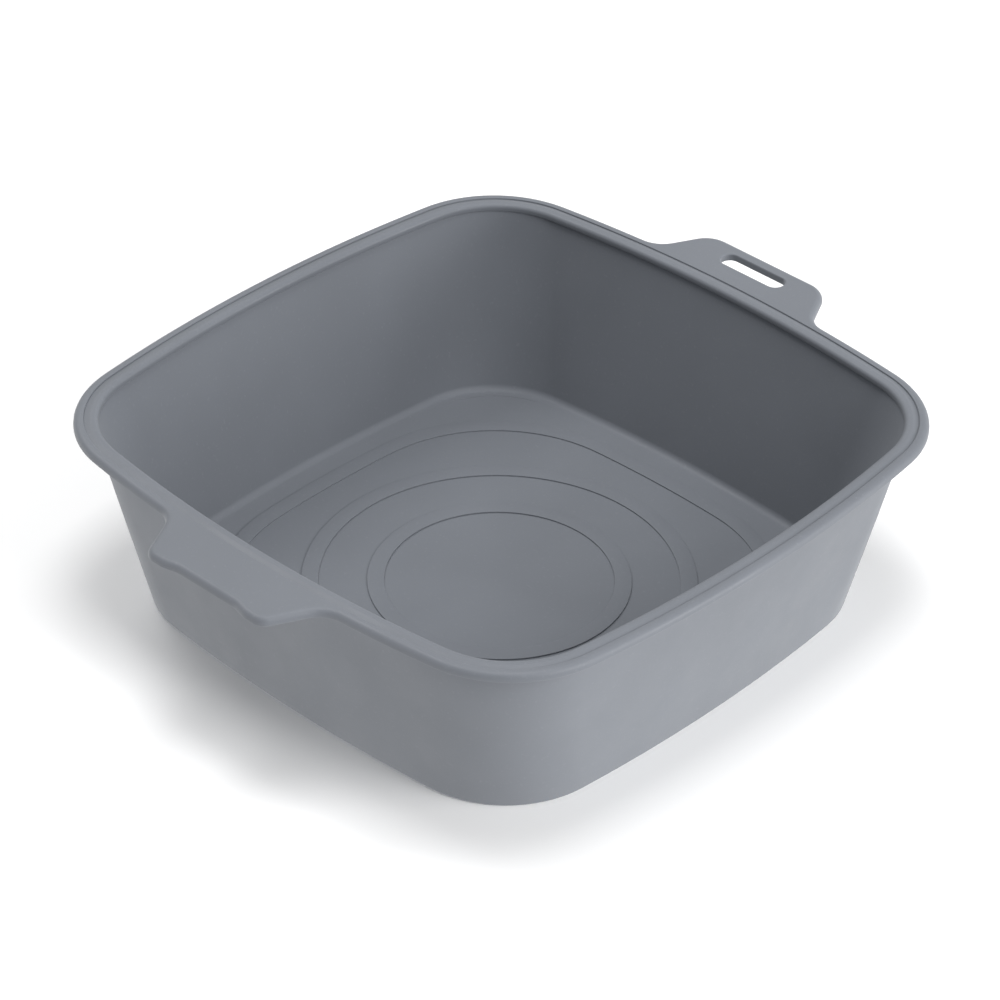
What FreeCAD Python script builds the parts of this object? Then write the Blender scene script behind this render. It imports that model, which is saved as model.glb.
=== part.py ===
import FreeCAD, Part
import math
import os

# A soft one-piece square basin: drafted walls, a flat floor with three raised rings,
# a bead and a round-edged lip round the rim, and a flat pull tab on two opposite sides.
# The top of the bead slopes down a little towards the lip, whose inner edge is a low step.
# Every dimension is in millimetres and every angle in degrees. The origin is the centre of
# the flat base and +Z is up. The plain tab points to -Y and the slotted tab to +Y.
#
# Each plan outline is a square with bowed sides and round corners. It is set by the distance
# from the centre to the middle of a side, the side arc radius and the corner arc radius.

# Rim outline, taken along the step between the bead and the lip
rim_half = 100.4
rim_side_radius = 490.4
rim_corner_radius = 33.6

# Base outline, taken where the outside of the wall meets the ground; the wall keeps its
# corner radius from the base to the rim
base_half = 86.0
base_side_radius = 550.0
wall_corner_radius = 33.6

# Heights and thicknesses; the wall thins upwards
rim_top = 62.3
floor_thickness = 2.1
wall_foot_thickness = 2.0
wall_top_thickness = 1.0
lip_thickness = 2.5

# Wall: how far its top lies inside the step line, and its rounded foot
wall_inset = 2.4
foot_outer_radius = 1.2
foot_inner_radius = 2.4
floor_panel_inset = 5.0

# Rim section: the bead is rounded towards the cavity and stands in over the wall, most of all
# along the sides; its outer part slopes down and ends below the lip by the step. The roll is the
# part of the bead below the lip, let into the top of the wall.
lip_width = 3.0
lip_top_radius = 1.9
lip_bottom_radius = 0.25
step_height = 0.55
step_edge_radius = 0.2
bead_width = 4.3
bead_height = 2.8
bead_slope_width = 1.9
bead_inner_radius = 1.3
bead_crest_radius = 2.2
bead_under_radius = 1.0
roll_width = 1.1

# Pull tabs: half width where the straight sides cross the lip edge, side slope and roots, and
# half width on the step line of the stretch of rim that belongs to the tab
tab_foot_half = 31.0
tab_side_angle = 63.4
tab_root_radius = 8.5
tab_zone_half = 39.0

# The tab outlines start inside the lip, with small corners that the lip covers
covered_corner_radius = 0.5
root_search_reach = 1.5

# Rear tab and its hanging slot
rear_tab_reach = 119.2
rear_corner_radius = 9.0
slot_length = 24.2
slot_width = 6.4
slot_corner_radius = 3.0
slot_centre = 111.5
slot_edge_radius = 0.4

# Front tab, whose outer edge has a shallow hollow between its corners
front_tab_reach = 119.2
front_corner_radius = 5.0
hollow_depth = 1.3
hollow_floor_half = 11.5
hollow_mouth_half = 16.5
hollow_blend_radius = 8.0

# Raised rings on the floor
ring_width = 5.2
ring_height = 0.5
ring_edge_radius = 0.15
inner_ring_radius = 34.6
middle_ring_radius = 54.4
outer_ring_half = 70.8
outer_ring_side_radius = 400.0
outer_ring_corner_radius = 48.0

# Derived heights
lip_bottom = rim_top - lip_thickness
step_foot = rim_top - step_height
bead_bottom = rim_top - bead_height

# Tools: the distance within which two places count as one, and a size beyond the whole part
same_place = 0.001
beyond = 300.0

up = FreeCAD.Vector(0.0, 0.0, 1.0)


def turned_arc(centre_x, centre_y, radius, first, last, turn, height):
    """Arc about a centre between two angles, then turned about the vertical axis."""
    points = []
    for angle in (first, (first + last) / 2.0, last):
        x = centre_x + radius * math.cos(angle)
        y = centre_y + radius * math.sin(angle)
        turned_x = x * math.cos(turn) - y * math.sin(turn)
        turned_y = x * math.sin(turn) + y * math.cos(turn)
        points.append(FreeCAD.Vector(turned_x, turned_y, height))
    return Part.Arc(points[0], points[1], points[2]).toShape()


def bowed_square(half, side_radius, corner_radius, height):
    """Closed outline of four side arcs joined by four tangent corner arcs."""
    side_centre = half - side_radius
    gap = side_radius - corner_radius
    corner_centre = (side_centre + math.sqrt(2.0 * gap ** 2 - side_centre ** 2)) / 2.0
    side_end = math.atan2(corner_centre, corner_centre - side_centre)
    corner_end = math.pi / 2.0 - side_end
    arcs = []
    for quarter in range(4):
        turn = quarter * math.pi / 2.0
        arcs.append(turned_arc(side_centre, 0.0, side_radius, -side_end, side_end, turn, height))
        arcs.append(
            turned_arc(corner_centre, corner_centre, corner_radius, side_end, corner_end, turn, height))
    return Part.Wire(arcs)


def rim_outline(offset, height):
    """Outline parallel to the step line and outside it by the offset."""
    return bowed_square(
        rim_half + offset, rim_side_radius + offset, rim_corner_radius + offset, height)


def wall_outline(inset, height):
    """Outline of the drafted wall at a height, moved in by the inset."""
    share = height / lip_bottom
    half = base_half + (rim_half - wall_inset - base_half) * share
    side = base_side_radius + (rim_side_radius - wall_inset - base_side_radius) * share
    return bowed_square(half - inset, side - inset, wall_corner_radius - inset, height)


def rounded_polygon(corners, height):
    """Closed outline through corners given as (x, y, radius), with each corner rounded."""
    count = len(corners)
    edges = []
    ends = []
    for index in range(count):
        x, y, radius = corners[index]
        here = FreeCAD.Vector(x, y, height)
        before = FreeCAD.Vector(corners[index - 1][0], corners[index - 1][1], height)
        after = FreeCAD.Vector(corners[(index + 1) % count][0], corners[(index + 1) % count][1], height)
        back = (before - here).normalize()
        ahead = (after - here).normalize()
        half_angle = back.getAngle(ahead) / 2.0
        start = here + back * (radius / math.tan(half_angle))
        finish = here + ahead * (radius / math.tan(half_angle))
        bisector = (back + ahead).normalize()
        nearest = here + bisector * (radius / math.sin(half_angle) - radius)
        edges.append(Part.Arc(start, nearest, finish).toShape())
        ends.append((start, finish))
    for index in range(count):
        edges.append(Part.makeLine(ends[index - 1][1], ends[index][0]))
    return Part.Wire(Part.__sortEdges__(edges))


def prism(wire, height):
    """Solid pushed straight up from a flat closed outline."""
    return Part.Face(wire).extrude(up * height)


def edges_on(solid, outline):
    """Edges of a solid whose middle lies on an outline."""
    found = []
    for edge in solid.Edges:
        middle = edge.valueAt((edge.FirstParameter + edge.LastParameter) / 2.0)
        if outline.distToShape(Part.Vertex(middle))[0] < same_place:
            found.append(edge)
    return found


def flat_edges(solid, height):
    """Edges of a solid that lie wholly at one height."""
    found = []
    for edge in solid.Edges:
        box = edge.BoundBox
        if abs(box.ZMin - height) < same_place and abs(box.ZMax - height) < same_place:
            found.append(edge)
    return found


def cavity_form():
    """Space inside the basin, rounded where the wall meets the floor."""
    low = wall_outline(wall_foot_thickness, floor_thickness)
    high = wall_outline(wall_top_thickness, rim_top)
    solid = Part.makeLoft([low, high], True, True)
    return solid.makeFillet(foot_inner_radius, flat_edges(solid, floor_thickness))


def floor_panel():
    """Flat floor plate, up to the rounded foot of the wall."""
    outline = bowed_square(
        base_half - floor_panel_inset,
        base_side_radius - floor_panel_inset,
        wall_corner_radius - floor_panel_inset,
        0.0)
    return prism(outline, floor_thickness)


def wall_shell():
    """Drafted wall from the rounded foot that joins it to the floor up to the round of the bead."""
    solid = Part.makeLoft([wall_outline(0.0, 0.0), wall_outline(0.0, lip_bottom)], True, True)
    solid = solid.makeFillet(foot_outer_radius, flat_edges(solid, 0.0))
    return solid.cut(cavity_form()).cut(floor_panel()).cut(rim_bead())


def rim_bead():
    """Bead on top of the wall: rounded towards the cavity, sloping down to the foot of the step."""
    roll = prism(rim_outline(roll_width - bead_width, bead_bottom), lip_bottom - bead_bottom)
    block = prism(rim_outline(0.0, lip_bottom), step_foot - lip_bottom)
    crest = rim_outline(-bead_slope_width, rim_top)
    crown = Part.makeLoft([rim_outline(0.0, step_foot), crest], True, True)
    mouth = prism(rim_outline(-bead_width, bead_bottom), bead_height)
    bead = roll.fuse(block).fuse(crown).cut(mouth).removeSplitter()
    bead = bead.makeFillet(bead_inner_radius, edges_on(bead, rim_outline(-bead_width, rim_top)))
    bead = bead.makeFillet(bead_under_radius, edges_on(bead, rim_outline(-bead_width, bead_bottom)))
    return bead.makeFillet(bead_crest_radius, edges_on(bead, crest))


def side_point(y):
    """Half width of a tab's straight side at a distance from the centre."""
    lip_edge = rim_half + lip_width
    return tab_foot_half - (y - lip_edge) / math.tan(math.radians(tab_side_angle))


def rear_tab_outline():
    """Outline of the slotted tab, from inside the rim to its outer edge."""
    corners = []
    corners.append((side_point(rim_half), rim_half, covered_corner_radius))
    corners.append((side_point(rear_tab_reach), rear_tab_reach, rear_corner_radius))
    corners.append((-side_point(rear_tab_reach), rear_tab_reach, rear_corner_radius))
    corners.append((-side_point(rim_half), rim_half, covered_corner_radius))
    return rounded_polygon(corners, lip_bottom)


def front_tab_outline():
    """Outline of the plain tab, with the shallow hollow in its outer edge."""
    hollow_edge = front_tab_reach - hollow_depth
    half = []
    half.append((side_point(rim_half), rim_half, covered_corner_radius))
    half.append((side_point(front_tab_reach), front_tab_reach, front_corner_radius))
    half.append((hollow_mouth_half, front_tab_reach, hollow_blend_radius))
    half.append((hollow_floor_half, hollow_edge, hollow_blend_radius))
    corners = []
    for x, y, radius in half:
        corners.append((x, -y, radius))
    for x, y, radius in reversed(half):
        corners.append((-x, -y, radius))
    return rounded_polygon(corners, lip_bottom)


def root_edges(solid):
    """Upright edges where the tab sides meet the edge of the lip."""
    found = []
    for edge in solid.Edges:
        box = edge.BoundBox
        upright = box.ZLength > lip_thickness - same_place and box.XLength < same_place
        near_root = abs(abs(box.XMin) - tab_foot_half) < root_search_reach
        at_root = near_root and abs(box.YMin) < rim_half + lip_width
        if upright and at_root:
            found.append(edge)
    return found


def hanging_slot():
    """Slot through the rear tab."""
    x = slot_length / 2.0
    low = slot_centre - slot_width / 2.0
    high = slot_centre + slot_width / 2.0
    corners = []
    for corner_x, corner_y in ((x, low), (x, high), (-x, high), (-x, low)):
        corners.append((corner_x, corner_y, slot_corner_radius))
    return rounded_polygon(corners, lip_bottom)


def flange():
    """Lip and both tabs as one plate outside the step line, with its edges rounded."""
    plate = prism(rim_outline(lip_width, lip_bottom), lip_thickness)
    plate = plate.fuse(prism(rear_tab_outline(), lip_thickness))
    plate = plate.fuse(prism(front_tab_outline(), lip_thickness)).removeSplitter()
    plate = plate.makeFillet(tab_root_radius, root_edges(plate))
    plate = plate.makeFillet(lip_top_radius, flat_edges(plate, rim_top))
    plate = plate.makeFillet(lip_bottom_radius, flat_edges(plate, lip_bottom))
    plate = plate.cut(prism(hanging_slot(), lip_thickness))
    slot_top = hanging_slot().translated(up * lip_thickness)
    slot_edges = edges_on(plate, slot_top) + edges_on(plate, hanging_slot())
    plate = plate.makeFillet(slot_edge_radius, slot_edges)
    plate = plate.cut(prism(rim_outline(0.0, lip_bottom), lip_thickness))
    return plate.makeFillet(step_edge_radius, edges_on(plate, rim_outline(0.0, rim_top)))


def tab_zone(side):
    """Wedge that holds one tab and its stretch of lip; side is 1 for the rear and -1 for the front.

    Its upright faces pass through the centre of the side arc, square to the rim."""
    centre_y = rim_half - rim_side_radius
    slope = math.tan(math.asin(tab_zone_half / rim_side_radius))
    near_half = -centre_y * slope
    far_half = (beyond - centre_y) * slope
    corners = []
    corners.append(FreeCAD.Vector(-near_half, 0.0, 0.0))
    corners.append(FreeCAD.Vector(near_half, 0.0, 0.0))
    corners.append(FreeCAD.Vector(far_half, beyond * side, 0.0))
    corners.append(FreeCAD.Vector(-far_half, beyond * side, 0.0))
    corners.append(corners[0])
    return prism(Part.makePolygon(corners), beyond)


def lip_zone(side):
    """Stretch of lip from tab to tab; side is 1 for +X and -1 for -X."""
    corner = FreeCAD.Vector(min(0.0, side * beyond), -beyond, 0.0)
    half_space = Part.makeBox(beyond, 2.0 * beyond, beyond, corner)
    return flange().common(half_space).cut(tab_zone(1)).cut(tab_zone(-1))


def rim_lip_left():
    """Lip from tab to tab on the -X side."""
    return lip_zone(-1)


def rim_lip_right():
    """Lip from tab to tab on the +X side."""
    return lip_zone(1)


def front_tab():
    """Plain pull tab with the stretch of lip it grows from."""
    return flange().common(tab_zone(-1))


def rear_tab():
    """Slotted pull tab with the stretch of lip it grows from."""
    return flange().common(tab_zone(1))


def raised_ring(inner_outline, outer_outline):
    """Low flat ring between two outlines, with its top edges softened."""
    ring = prism(outer_outline, ring_height).cut(prism(inner_outline, ring_height))
    return ring.makeFillet(ring_edge_radius, flat_edges(ring, floor_thickness + ring_height))


def circle_outline(radius):
    """Circle on the top of the floor."""
    centre = FreeCAD.Vector(0.0, 0.0, floor_thickness)
    return Part.Wire(Part.makeCircle(radius, centre))


def floor_ring_inner():
    """Smallest ring, a circle."""
    return raised_ring(circle_outline(inner_ring_radius), circle_outline(inner_ring_radius + ring_width))


def floor_ring_middle():
    """Middle ring, a circle."""
    return raised_ring(circle_outline(middle_ring_radius), circle_outline(middle_ring_radius + ring_width))


def floor_ring_outer():
    """Largest ring, a rounded square that follows the walls."""
    outlines = []
    for offset in (0.0, ring_width):
        outlines.append(bowed_square(
            outer_ring_half + offset,
            outer_ring_side_radius + offset,
            outer_ring_corner_radius + offset,
            floor_thickness))
    return raised_ring(outlines[0], outlines[1])


pieces = {
    "floor_panel": floor_panel,
    "wall_shell": wall_shell,
    "rim_bead": rim_bead,
    "rim_lip_left": rim_lip_left,
    "rim_lip_right": rim_lip_right,
    "front_tab": front_tab,
    "rear_tab": rear_tab,
    "floor_ring_inner": floor_ring_inner,
    "floor_ring_middle": floor_ring_middle,
    "floor_ring_outer": floor_ring_outer,
}

os.makedirs("parts", exist_ok=True)
for name, make in pieces.items():
    make().exportStep(os.path.join("parts", name + ".step"))
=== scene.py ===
"""Looks of the soft square basin: every zone of the moulding as a closed mesh of its own, silicone in
three finishes, a pale floor, soft studio light and the camera. Metres, +Z up."""

import math

import bmesh
import bpy
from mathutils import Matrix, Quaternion, Vector
from mathutils.geometry import delaunay_2d_cdt


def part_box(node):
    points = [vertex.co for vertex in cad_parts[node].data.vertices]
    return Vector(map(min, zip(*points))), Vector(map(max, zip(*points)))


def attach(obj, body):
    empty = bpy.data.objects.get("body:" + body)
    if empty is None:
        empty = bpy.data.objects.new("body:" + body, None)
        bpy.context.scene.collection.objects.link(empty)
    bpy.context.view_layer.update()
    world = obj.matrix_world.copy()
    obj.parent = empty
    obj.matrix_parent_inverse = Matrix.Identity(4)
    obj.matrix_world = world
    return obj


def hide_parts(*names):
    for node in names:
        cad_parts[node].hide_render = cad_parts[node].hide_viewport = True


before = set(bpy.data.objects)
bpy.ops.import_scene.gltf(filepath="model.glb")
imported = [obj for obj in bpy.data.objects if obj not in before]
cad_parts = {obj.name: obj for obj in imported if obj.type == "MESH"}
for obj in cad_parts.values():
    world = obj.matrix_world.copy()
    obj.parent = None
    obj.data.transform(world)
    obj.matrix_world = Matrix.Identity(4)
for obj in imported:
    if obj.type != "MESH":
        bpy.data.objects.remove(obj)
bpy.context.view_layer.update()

mm = 0.001

# ---------------------------------------------------------------- driving dimensions
# Heights come from the frame.
rim_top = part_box("rim_lip_right")[1].z
lip_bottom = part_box("rim_lip_right")[0].z
floor_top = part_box("floor_panel")[1].z
ring_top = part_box("floor_ring_inner")[1].z

# Plans are squares with bowed sides and round corners: centre to mid-side, side arc radius, corner
# arc radius. The rim's follows the step between bead and lip, the next two follow the outside of the
# wall at the ground and under the lip, and the outer ring's follows its inner edge.
rim_plan = (100.4 * mm, 490.4 * mm, 33.6 * mm)
base_plan = (86.0 * mm, 550.0 * mm, 33.6 * mm)
wall_top_plan = (98.0 * mm, 488.0 * mm, 33.6 * mm)
outer_ring_plan = (70.8 * mm, 400.0 * mm, 48.0 * mm)

wall_foot_thickness = 2.0 * mm
wall_top_thickness = 1.0 * mm
foot_outer_radius = 1.2 * mm
foot_inner_radius = 2.4 * mm
panel_inset = 5.0 * mm

lip_width = 3.0 * mm
lip_top_radius = 1.9 * mm
lip_bottom_radius = 0.25 * mm
step_foot = rim_top - 0.55 * mm
step_edge_radius = 0.2 * mm
bead_width = 4.3 * mm
bead_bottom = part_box("rim_bead")[0].z
bead_slope_width = 1.9 * mm
bead_inner_radius = 1.3 * mm
bead_crest_radius = 2.2 * mm
bead_under_radius = 0.9 * mm
roll_width = 1.1 * mm

# Half width of a tab's stretch of rim, as an angle on the side arc, and the tab outlines
tab_zone_half = 39.0 * mm
tab_zone_angle = math.asin(tab_zone_half / rim_plan[1])
tab_foot_half = 31.0 * mm
tab_side_angle = math.radians(63.4)
tab_root_radius = 8.5 * mm
rear_tab_reach = 119.2 * mm
rear_corner_radius = 9.0 * mm
front_tab_reach = 119.2 * mm
front_corner_radius = 5.0 * mm
hollow_depth = 1.3 * mm
hollow_floor_half = 11.5 * mm
hollow_mouth_half = 16.5 * mm
hollow_blend_radius = 8.0 * mm

slot_half_length = 12.1 * mm
slot_half_width = 3.2 * mm
slot_corner_radius = 3.0 * mm
slot_centre = 111.5 * mm
slot_edge_radius = 0.4 * mm

ring_width = 5.2 * mm
ring_edge_radius = 0.15 * mm
inner_ring_radius = 34.6 * mm
middle_ring_radius = 54.4 * mm

# Mesh fineness, and the width of the flat strip that keeps the shading of a rounding off the flats
side_steps = 44
corner_steps = 28
circle_steps = 192
round_steps = 6
fine_round_steps = 8
tab_round_steps = 10
ring_edge_steps = 4
step_edge_steps = 3
wall_rows = 16
plate_shares = (1.0, 0.9, 0.75, 0.6, 0.45, 0.3, 0.15)
shade_strip = 0.15 * mm
smooth_limit = math.radians(32.0)
cap_tolerance = 1e-9

# Silicone: colours are linear, noise scales are cycles per metre, and each range is the part of the
# noise that the effect fades in over. Finger marks run from smoother to rougher than the finish.
silicone_colour = (0.145, 0.157, 0.178)
dust_colour = (0.22, 0.23, 0.25)
silicone_ior = 1.41
mottle_scale, mottle_range, mottle_depth = 14.0, (0.3, 0.7), 0.07
dust_scale, dust_range, dust_share = 900.0, (0.62, 0.75), 0.22
finger_mark_scale, finger_mark_range = 45.0, (0.35, 0.65)
smoother, rougher = -0.06, 0.05
grain_scale, grain_strength, grain_depth = 2600.0, 0.18, 0.05 * mm
wave_scale, wave_strength, wave_depth = 60.0, 0.25, 0.25 * mm

# Light: softboxes are (name, azimuth from +X towards +Y, elevation, watts), in degrees; the world's
# strength is one value above the horizon and a larger one below it
world_above = 0.38
world_below = 1.29
horizon_blur = 0.02
softbox_distance = 1.6
softbox_size = 0.6
softboxes = (
    ("side_box", 30.0, 12.0, 12.6),
    ("front_box", 0.0, 35.0, 12.3),
    ("top_box", 0.0, 89.0, 10.5),
    ("far_box", 180.0, 52.0, 9.0),
)
floor_half = 4.0
floor_colour = (0.98, 0.98, 0.98, 1.0)

# Camera: azimuth from the plain tab's side towards +X
camera_azimuth = math.radians(43.27)
camera_elevation = math.radians(35.23)
camera_roll = math.radians(0.97)
camera_distance = 1.181
camera_target = Vector((10.0 * mm, -11.0 * mm, 41.9 * mm))
camera_lens = 145.7


# ---------------------------------------------------------------- plan and section curves
def arc_points(centre, radius, first, last, steps):
    """Points and outward directions along an arc, without its last point."""
    found = []
    for step in range(steps):
        angle = first + (last - first) * step / steps
        out = Vector((math.cos(angle), math.sin(angle)))
        found.append((Vector(centre) + out * radius, out))
    return found


def bowed_square(half, side_radius, corner_radius):
    """Points of a closed outline of four side arcs and four tangent corner arcs."""
    side_centre = half - side_radius
    gap = side_radius - corner_radius
    corner_centre = (side_centre + math.sqrt(2.0 * gap**2 - side_centre**2)) / 2.0
    side_end = math.atan2(corner_centre, corner_centre - side_centre)
    quarter = arc_points((side_centre, 0.0), side_radius, -side_end, side_end, side_steps)
    quarter += arc_points(
        (corner_centre, corner_centre), corner_radius, side_end, math.pi / 2.0 - side_end, corner_steps)
    points = []
    for turn in range(4):
        cos, sin = ((1, 0), (0, 1), (-1, 0), (0, -1))[turn]
        for point, _ in quarter:
            points.append(Vector((point.x * cos - point.y * sin, point.x * sin + point.y * cos)))
    return points


def circle(radius):
    """Points of a circle about the vertical axis."""
    return [point for point, _ in arc_points((0.0, 0.0), radius, 0.0, 2.0 * math.pi, circle_steps)]


def rounded(corners, steps=round_steps, closed=True, strips=False):
    """Points of a polygon given as (x, y, radius), with every corner turned into an arc."""
    points = []
    count = len(corners)
    for index, (x, y, radius) in enumerate(corners):
        here = Vector((x, y))
        if radius == 0.0 or (not closed and index in (0, count - 1)):
            points.append(here)
            continue
        back = (Vector(corners[index - 1][:2]) - here).normalized()
        ahead = (Vector(corners[(index + 1) % count][:2]) - here).normalized()
        half_angle = back.angle(ahead) / 2.0
        start = here + back * radius / math.tan(half_angle)
        finish = here + ahead * radius / math.tan(half_angle)
        centre = here + (back + ahead).normalized() * radius / math.sin(half_angle)
        spoke = start - centre
        sweep = (math.pi - 2.0 * half_angle) * (1.0 if back.cross(ahead) < 0.0 else -1.0)
        if strips:
            points.append(start + back * shade_strip)
        for step in range(steps + 1):
            angle = sweep * step / steps
            cos, sin = math.cos(angle), math.sin(angle)
            points.append(centre + Vector((spoke.x * cos - spoke.y * sin, spoke.x * sin + spoke.y * cos)))
        if strips:
            points.append(finish + ahead * shade_strip)
    return points


def at_height(points, z):
    """Flat points lifted to a height."""
    return [Vector((point.x, point.y, z)) for point in points]


def grown(plan, offset):
    """Plan of the parallel outline at an offset."""
    return tuple(size + offset for size in plan)


def wall_plan(reach, z):
    """Plan through the drafted wall at a height, where reach is its half width mid-side."""
    share = z / lip_bottom
    outside = [low + (high - low) * share for low, high in zip(base_plan, wall_top_plan)]
    return grown(outside, reach - outside[0])


def wall_loop(reach, z):
    """Closed outline on the wall, inside or outside."""
    return at_height(bowed_square(*wall_plan(reach, z)), z)


def rim_loop(offset, z):
    """Closed outline parallel to the step line."""
    return at_height(bowed_square(*grown(rim_plan, offset)), z)


# ---------------------------------------------------------------- mesh builders
def finish_mesh(name, mesh_data, replaced):
    """Turns bmesh data into a smooth-shaded piece that stands for CAD nodes."""
    bmesh.ops.recalc_face_normals(mesh_data, faces=mesh_data.faces)
    mesh = bpy.data.meshes.new(name)
    mesh_data.to_mesh(mesh)
    mesh_data.free()
    for face in mesh.polygons:
        face.use_smooth = True
    mesh.set_sharp_from_angle(angle=smooth_limit)
    piece = bpy.data.objects.new(name, mesh)
    bpy.context.scene.collection.objects.link(piece)
    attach(piece, "root")
    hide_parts(replaced)
    return piece


def skin(data, rows, closed=True):
    """Quads between each row of vertices and the next; closed rows run back to their start."""
    count = len(rows[0])
    for row, following in zip(rows, rows[1:]):
        for step in range(count if closed else count - 1):
            after = (step + 1) % count
            data.faces.new((row[step], row[after], following[after], following[step]))


def ring_solid(name, loops, replaced):
    """Closed solid ring from closed loops that go once round its section."""
    data = bmesh.new()
    rows = [[data.verts.new(point) for point in loop] for loop in loops]
    skin(data, rows + rows[:1])
    return finish_mesh(name, data, replaced)


def bar_solid(name, sections, replaced):
    """Closed solid from matching sections along an open path."""
    data = bmesh.new()
    rows = [[data.verts.new(point) for point in section] for section in sections]
    skin(data, rows)
    data.faces.new(rows[0])
    data.faces.new(list(reversed(rows[-1])))
    return finish_mesh(name, data, replaced)


def disc_solid(name, outline, low, high, replaced):
    """Flat plate inside an outline, meshed in scaled copies of it round a centre point."""
    data = bmesh.new()
    rims = []
    for z in (high, low):
        rows = []
        for share in plate_shares:
            rows.append([data.verts.new((p.x * share, p.y * share, z)) for p in outline])
        centre = data.verts.new((0.0, 0.0, z))
        skin(data, rows)
        last = rows[-1]
        for step in range(len(last)):
            data.faces.new((last[step], last[(step + 1) % len(last)], centre))
        rims.append(rows[0])
    skin(data, rims)
    return finish_mesh(name, data, replaced)


def lip_edge(top_radius, bottom_radius):
    """(inset, height) pairs down a rounded plate edge, from the flat top to the flat underside."""
    past_round = 4.0 * top_radius
    section = rounded([
        (past_round, rim_top, 0.0),
        (0.0, rim_top, top_radius),
        (0.0, lip_bottom, bottom_radius),
        (past_round, lip_bottom, 0.0),
    ], closed=False, strips=True)
    return [(point.x, point.y) for point in section[1:-1]]


# ---------------------------------------------------------------- bowl
def make_floor():
    """Flat floor plate inside the rounded foot of the wall."""
    outline = bowed_square(*grown(base_plan, -panel_inset))
    return disc_solid("basin_floor", outline, 0.0, floor_top, "floor_panel")


def outside_half(z):
    """Half width of the outside of the wall at a height."""
    return base_plan[0] + (wall_top_plan[0] - base_plan[0]) * z / lip_bottom


def inside_half(z):
    """Half width of the inside of the wall at a height; the wall thins upwards."""
    foot = outside_half(floor_top) - wall_foot_thickness
    top = outside_half(rim_top) - wall_top_thickness
    return foot + (top - foot) * (z - floor_top) / (rim_top - floor_top)


def make_wall():
    """Drafted wall with its rounded foot, from the floor plate up into the underside of the rim."""
    seam = base_plan[0] - panel_inset
    section = rounded([
        (seam, 0.0, 0.0),
        (base_plan[0], 0.0, foot_outer_radius),
        (outside_half(lip_bottom), lip_bottom, 0.0),
        (inside_half(lip_bottom), lip_bottom, 0.0),
        (inside_half(floor_top), floor_top, foot_inner_radius),
        (seam, floor_top, 0.0),
    ], steps=fine_round_steps, strips=True)
    loops = []
    for point, following in zip(section, section[1:] + section[:1]):
        rows = wall_rows if abs(following.y - point.y) > lip_bottom / 2.0 else 1
        for row in range(rows):
            spot = point.lerp(following, row / rows)
            loops.append(wall_loop(spot.x, spot.y))
    return ring_solid("basin_wall", loops, "wall_shell")


def make_bead():
    """Bead on top of the wall: rolled over towards the cavity, sloping down to the foot of the step."""
    inner_edge = rim_plan[0] - bead_width
    section = rounded([
        (inner_edge, bead_bottom, bead_under_radius),
        (inner_edge, rim_top, bead_inner_radius),
        (rim_plan[0] - bead_slope_width, rim_top, bead_crest_radius),
        (rim_plan[0], step_foot, 0.0),
        (rim_plan[0], lip_bottom, 0.0),
        (inner_edge + roll_width, lip_bottom, 0.0),
        (inner_edge + roll_width, bead_bottom, 0.0),
    ], steps=fine_round_steps, strips=True)
    loops = [rim_loop(point.x - rim_plan[0], point.y) for point in section]
    return ring_solid("rim_bead_bowl_edge", loops, "rim_bead")


# ---------------------------------------------------------------- lip and tabs
def step_face():
    """(offset, height) pairs up the inner face of the lip, from the underside to the flat top."""
    section = rounded([
        (0.0, lip_bottom, 0.0),
        (0.0, rim_top, step_edge_radius),
        (lip_width, rim_top, 0.0),
    ], steps=step_edge_steps, closed=False, strips=True)
    return [(point.x, point.y) for point in section[:-1]]


def lip_section():
    """(offset from the step line, height) pairs round the section of the lip."""
    outer = [(lip_width - inset, z) for inset, z in lip_edge(lip_top_radius, lip_bottom_radius)]
    return outer + step_face()


def rear_arc(angle, offset=0.0):
    """Point and outward direction on the rear side arc of the rim; angle from +Y towards +X."""
    out = Vector((math.sin(angle), math.cos(angle)))
    return Vector((0.0, rim_plan[0] - rim_plan[1])) + out * (rim_plan[1] + offset), out


def lip_path(side):
    """Points and outward directions on the step line from tab to tab; side is +1 or -1."""
    outline = bowed_square(*rim_plan)
    size = len(outline)
    end, end_out = rear_arc(tab_zone_angle)
    path = []
    for step in range(size):
        before, here, after = outline[step - 1], outline[step], outline[(step + 1) % size]
        along = (after - before).normalized()
        if here.x * side > end.x:
            path.append((here, Vector((along.y, -along.x))))
    path.sort(key=lambda entry: math.atan2(entry[0].y, entry[0].x * side))
    front = (Vector((end.x * side, -end.y)), Vector((end_out.x * side, -end_out.y)))
    rear = (Vector((end.x * side, end.y)), Vector((end_out.x * side, end_out.y)))
    return [front] + path + [rear]


def make_lip(name, side, replaced):
    """Round-edged lip outside the step, from tab to tab on one side."""
    profile = lip_section()
    sections = []
    for point, out in lip_path(side):
        section = []
        for offset, z in profile:
            spot = point + out * offset
            section.append(Vector((spot.x, spot.y, z)))
        sections.append(section)
    return bar_solid(name, sections, replaced)


def edge_with_directions(points):
    """Pairs each point of an open edge, walked with the solid on its left, with its outward direction."""
    pairs = []
    for index, point in enumerate(points):
        before = points[max(index - 1, 0)]
        after = points[min(index + 1, len(points) - 1)]
        along = (after - before).normalized()
        pairs.append((point, Vector((along.y, -along.x))))
    return pairs


def side_x(y):
    """Half width of a tab's straight side at a distance from the centre."""
    return tab_foot_half - (y - rim_plan[0] - lip_width) / math.tan(tab_side_angle)


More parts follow.
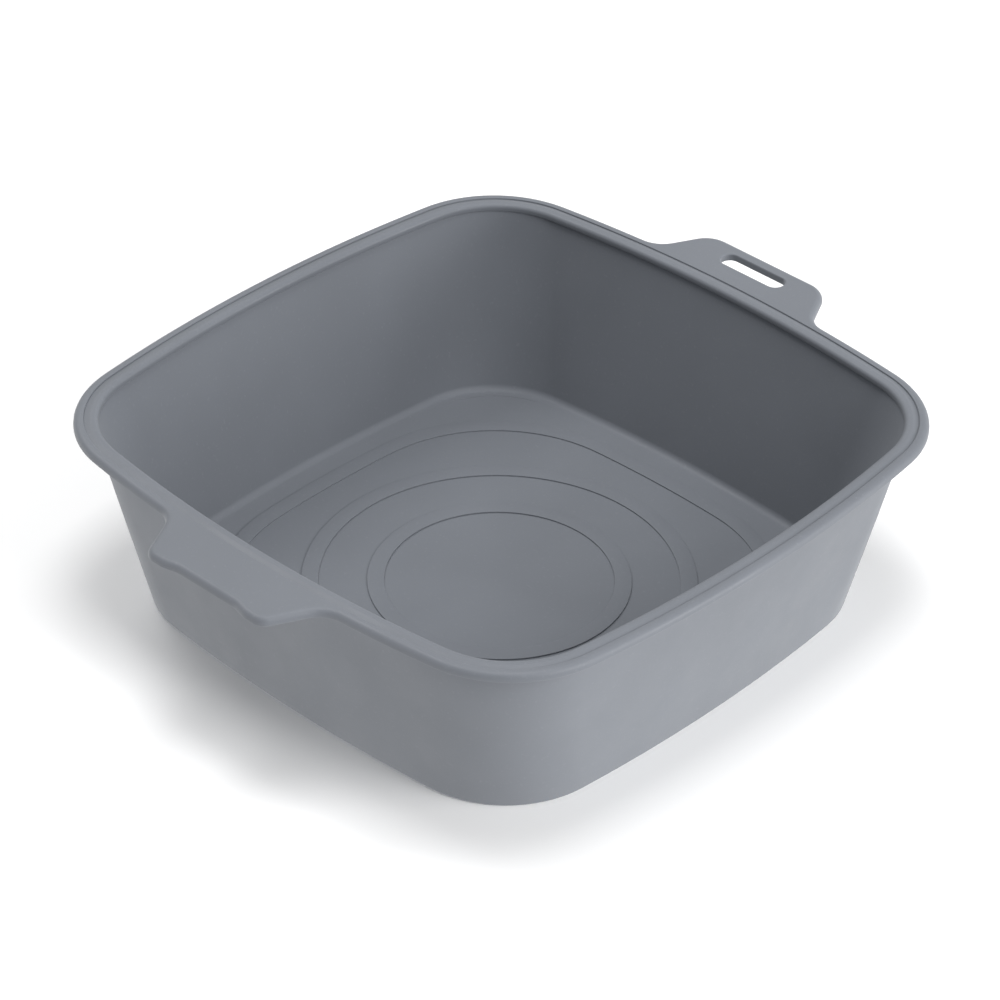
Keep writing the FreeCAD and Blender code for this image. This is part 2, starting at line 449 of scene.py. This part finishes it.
def tab_half_path(corners):
    """Points and outward directions along half a rear-facing tab edge, from +X to the middle."""
    lip_radius = rim_plan[1] + lip_width
    lip_centre = Vector((0.0, rim_plan[0] - rim_plan[1]))
    slope = Vector((-math.cos(tab_side_angle), math.sin(tab_side_angle)))
    side_out = Vector((slope.y, -slope.x))
    # The root arc touches the lip arc and the straight side from outside.
    start = Vector((tab_foot_half, rim_plan[0] + lip_width)) + side_out * tab_root_radius - lip_centre
    reach = (lip_radius + tab_root_radius) ** 2 - start.length_squared
    root = lip_centre + start + slope * (math.sqrt(start.dot(slope) ** 2 + reach) - start.dot(slope))
    touch = (root - lip_centre).normalized()
    touch_angle = math.atan2(touch.y, touch.x)
    side_angle = math.atan2(side_out.y, side_out.x)
    path = arc_points(lip_centre, lip_radius, math.pi / 2.0 - tab_zone_angle, touch_angle, round_steps)
    # The root arc is hollow, so its own outward direction points into the tab.
    first, last = touch_angle + math.pi, side_angle + math.pi
    for point, inward in arc_points(root, tab_root_radius, first, last, tab_round_steps):
        path.append((point, -inward))
    side_start = root - side_out * tab_root_radius
    straight = rounded([(side_start.x, side_start.y, 0.0)] + corners, steps=tab_round_steps, closed=False)
    return path + edge_with_directions(straight)


def rear_tab_path():
    """Half edge of the slotted tab."""
    corners = [
        (side_x(rear_tab_reach), rear_tab_reach, rear_corner_radius),
        (0.0, rear_tab_reach, 0.0),
    ]
    return tab_half_path(corners)


def front_tab_path():
    """Half edge of the plain tab, with the shallow hollow in its outer edge, drawn facing +Y."""
    hollow_floor = front_tab_reach - hollow_depth
    corners = [
        (side_x(front_tab_reach), front_tab_reach, front_corner_radius),
        (hollow_mouth_half, front_tab_reach, hollow_blend_radius),
        (hollow_floor_half, hollow_floor, hollow_blend_radius),
        (0.0, hollow_floor, 0.0),
    ]
    return tab_half_path(corners)


def slot_loop(grow, z):
    """Outline of the hanging slot, larger by grow, at a height."""
    x = slot_half_length + grow
    low, high = slot_centre - slot_half_width - grow, slot_centre + slot_half_width + grow
    radius = slot_corner_radius + grow
    corners = [(x, low, radius), (x, high, radius), (-x, high, radius), (-x, low, radius)]
    return at_height(rounded(corners, steps=fine_round_steps), z)


def flat_cap(data, outer, hole):
    """Fills the flat region between a closed outline and an optional hole with triangles."""
    verts = outer + hole
    flat = [Vector((v.co.x, v.co.y)) for v in verts]
    edges = [(i, (i + 1) % len(outer)) for i in range(len(outer))]
    first = len(outer)
    edges += [(first + i, first + (i + 1) % len(hole)) for i in range(len(hole))]
    _, _, faces, origins, _, _ = delaunay_2d_cdt(flat, edges, [], 1, cap_tolerance)
    for face in faces:
        corners = [origins[index][0] for index in face]
        if min(corners) < first:
            data.faces.new([verts[index] for index in corners])


def make_tab(name, half_path, facing, slotted, replaced):
    """Flat tab with rounded edges, its stretch of lip, and the slot if it has one."""
    mirrored = [(Vector((-p.x, p.y)), Vector((-o.x, o.y))) for p, o in reversed(half_path[:-1])]
    path = half_path + mirrored

    def edge_row(inset, z):
        return at_height([point - out * inset for point, out in path], z)

    def step_row(run, z):
        angles = [tab_zone_angle * (2.0 * index / side_steps - 1.0) for index in range(side_steps + 1)]
        return at_height([rear_arc(angle, run)[0] for angle in angles], z)

    data = bmesh.new()

    def add(points):
        return [data.verts.new((point.x, point.y * facing, point.z)) for point in points]

    edge_rows = [add(edge_row(inset, z)) for inset, z in lip_edge(lip_top_radius, lip_bottom_radius)]
    skin(data, edge_rows, closed=False)
    step_rows = [add(step_row(run, z)) for run, z in step_face()]
    skin(data, step_rows, closed=False)
    slot_rows = []
    if slotted:
        slot_rows = [add(slot_loop(inset, z)) for inset, z in lip_edge(slot_edge_radius, slot_edge_radius)]
        skin(data, slot_rows)
    flat_cap(data, edge_rows[0] + step_rows[-1], slot_rows[0] if slotted else [])
    flat_cap(data, edge_rows[-1] + step_rows[0], slot_rows[-1] if slotted else [])
    for end in (0, -1):
        far = -1 if end == 0 else 0
        data.faces.new([row[end] for row in edge_rows] + [row[far] for row in step_rows])
    return finish_mesh(name, data, replaced)


# ---------------------------------------------------------------- floor rings
def make_ring(name, loop_at, replaced):
    """Low flat ring; loop_at gives its outline at a distance outside its inner edge."""
    section = rounded([
        (0.0, floor_top, 0.0),
        (ring_width, floor_top, 0.0),
        (ring_width, ring_top, ring_edge_radius),
        (0.0, ring_top, ring_edge_radius),
    ], steps=ring_edge_steps)
    loops = [at_height(loop_at(point.x), point.y) for point in section]
    return ring_solid(name, loops, replaced)


# ---------------------------------------------------------------- materials
def silicone(name, roughness, grain=1.0):
    """Matte grey silicone with mould grain, faint mottling, dust specks, finger marks and a soft sheen."""
    material = bpy.data.materials.new(name)
    material.use_nodes = True
    nodes, links = material.node_tree.nodes, material.node_tree.links
    shader = nodes["Principled BSDF"]

    def node(kind, **inputs):
        made = nodes.new(kind)
        for key, value in inputs.items():
            made.inputs[key.replace("_", " ")].default_value = value
        return made

    place = nodes.new("ShaderNodeTexCoord").outputs["Object"]

    def noise(scale, detail, sharpness=0.5):
        made = node("ShaderNodeTexNoise", Scale=scale, Detail=detail, Roughness=sharpness)
        links.new(place, made.inputs["Vector"])
        return made.outputs["Fac"]

    def ramp(source, source_range, first, last):
        low, high = source_range
        made = node("ShaderNodeMapRange", From_Min=low, From_Max=high, To_Min=first, To_Max=last)
        links.new(source, made.inputs["Value"])
        return made.outputs["Result"]

    def mix(factor, first, second):
        made = nodes.new("ShaderNodeMix")
        made.data_type = "RGBA"
        for socket_name, value in zip(("Factor", "A", "B"), (factor, first, second)):
            socket = made.inputs[socket_name]
            if isinstance(value, bpy.types.NodeSocket):
                links.new(value, socket)
            else:
                socket.default_value = (*value, 1.0)
        return made.outputs["Result"]

    light = tuple(channel * (1.0 + mottle_depth) for channel in silicone_colour)
    dark = tuple(channel * (1.0 - mottle_depth) for channel in silicone_colour)
    mottled = mix(ramp(noise(mottle_scale, detail=3.0), mottle_range, 0.0, 1.0), dark, light)
    dusty = mix(ramp(noise(dust_scale, detail=2.0), dust_range, 0.0, dust_share), mottled, dust_colour)
    links.new(dusty, shader.inputs["Base Color"])

    marks = noise(finger_mark_scale, detail=4.0, sharpness=0.6)
    finger_marks = ramp(marks, finger_mark_range, roughness + smoother, roughness + rougher)
    links.new(finger_marks, shader.inputs["Roughness"])

    fine = node("ShaderNodeBump", Strength=grain_strength * grain, Distance=grain_depth)
    links.new(noise(grain_scale, detail=3.0), fine.inputs["Height"])
    broad = node("ShaderNodeBump", Strength=wave_strength, Distance=wave_depth)
    links.new(noise(wave_scale, detail=2.0), broad.inputs["Height"])
    links.new(fine.outputs["Normal"], broad.inputs["Normal"])
    links.new(broad.outputs["Normal"], shader.inputs["Normal"])

    shader.inputs["IOR"].default_value = silicone_ior
    shader.inputs["Specular IOR Level"].default_value = 0.45
    shader.inputs["Sheen Weight"].default_value = 0.12
    shader.inputs["Sheen Roughness"].default_value = 0.6
    return material


# ---------------------------------------------------------------- stage, light and camera
def make_floor_plane():
    """Pale studio floor. It takes the basin's shadow but doesn't shade, light or reflect in the basin,
    which the bright surroundings light from below as well."""
    mesh = bpy.data.meshes.new("studio_floor")
    half = floor_half
    corners = [(-half, -half, 0.0), (half, -half, 0.0), (half, half, 0.0), (-half, half, 0.0)]
    mesh.from_pydata(corners, [], [(0, 1, 2, 3)])
    plane = bpy.data.objects.new("studio_floor", mesh)
    bpy.context.scene.collection.objects.link(plane)
    material = bpy.data.materials.new("studio_paper")
    material.use_nodes = True
    shader = material.node_tree.nodes["Principled BSDF"]
    shader.inputs["Base Color"].default_value = floor_colour
    shader.inputs["Roughness"].default_value = 0.9
    shader.inputs["Specular IOR Level"].default_value = 0.1
    mesh.materials.append(material)
    plane.visible_diffuse = False
    plane.visible_glossy = False
    plane.visible_shadow = False


def make_softbox(name, azimuth, elevation, watts):
    """Square area light aimed at the middle of the basin."""
    light = bpy.data.lights.new(name, "AREA")
    light.shape = "SQUARE"
    light.size = softbox_size
    light.energy = watts
    lamp = bpy.data.objects.new(name, light)
    bpy.context.scene.collection.objects.link(lamp)
    a, e = math.radians(azimuth), math.radians(elevation)
    towards = Vector((math.cos(a) * math.cos(e), math.sin(a) * math.cos(e), math.sin(e)))
    centre = Vector((0.0, 0.0, rim_top / 2.0))
    lamp.location = centre + towards * softbox_distance
    lamp.rotation_mode = "QUATERNION"
    lamp.rotation_quaternion = (-towards).to_track_quat("-Z", "Y")


def make_world():
    """White surroundings, brighter below the horizon than above it."""
    world = bpy.data.worlds.new("studio")
    world.use_nodes = True
    nodes, links = world.node_tree.nodes, world.node_tree.links
    backdrop = nodes["Background"]
    backdrop.inputs["Color"].default_value = (1.0, 1.0, 1.0, 1.0)
    place = nodes.new("ShaderNodeTexCoord")
    split = nodes.new("ShaderNodeSeparateXYZ")
    horizon = nodes.new("ShaderNodeMapRange")
    horizon.inputs["From Min"].default_value = -horizon_blur
    horizon.inputs["From Max"].default_value = horizon_blur
    horizon.inputs["To Min"].default_value = world_below
    horizon.inputs["To Max"].default_value = world_above
    links.new(place.outputs["Generated"], split.inputs["Vector"])
    links.new(split.outputs["Z"], horizon.inputs["Value"])
    links.new(horizon.outputs["Result"], backdrop.inputs["Strength"])
    bpy.context.scene.world = world


def make_camera():
    """Long lens seen from the front right corner, tilted a little."""
    back = Vector((
        math.sin(camera_azimuth) * math.cos(camera_elevation),
        -math.cos(camera_azimuth) * math.cos(camera_elevation),
        math.sin(camera_elevation)))
    camera = bpy.data.cameras.new("camera")
    camera.lens = camera_lens
    camera.sensor_width = 36.0
    camera.clip_start = 0.05
    camera.clip_end = 20.0
    holder = bpy.data.objects.new("camera", camera)
    bpy.context.scene.collection.objects.link(holder)
    holder.location = camera_target + back * camera_distance
    holder.rotation_mode = "QUATERNION"
    level = (-back).to_track_quat("-Z", "Y")
    holder.rotation_quaternion = level @ Quaternion((0.0, 0.0, 1.0), camera_roll)
    bpy.context.scene.camera = holder


# ---------------------------------------------------------------- build
floor_finish = silicone("silicone_inside", roughness=0.54)
wall_finish = silicone("silicone_outside", roughness=0.58)
rim_finish = silicone("silicone_rim", roughness=0.52, grain=0.8)

floor_piece = make_floor()
wall_piece = make_wall()
bead_piece = make_bead()
right_lip = make_lip("lip_right_side", 1.0, "rim_lip_right")
left_lip = make_lip("lip_left_side", -1.0, "rim_lip_left")
rear_piece = make_tab("hanging_tab", rear_tab_path(), 1.0, True, "rear_tab")
front_piece = make_tab("plain_tab", front_tab_path(), -1.0, False, "front_tab")
rings = [
    make_ring("ring_inner", lambda offset: circle(inner_ring_radius + offset), "floor_ring_inner"),
    make_ring("ring_middle", lambda offset: circle(middle_ring_radius + offset), "floor_ring_middle"),
    make_ring("ring_outer", lambda offset: bowed_square(*grown(outer_ring_plan, offset)), "floor_ring_outer"),
]

for piece in [floor_piece] + rings:
    piece.data.materials.append(floor_finish)
wall_piece.data.materials.append(wall_finish)
for piece in (bead_piece, right_lip, left_lip, rear_piece, front_piece):
    piece.data.materials.append(rim_finish)

make_floor_plane()
make_world()
for softbox in softboxes:
    make_softbox(*softbox)
make_camera()
bpy.context.scene.view_settings.view_transform = "Standard"
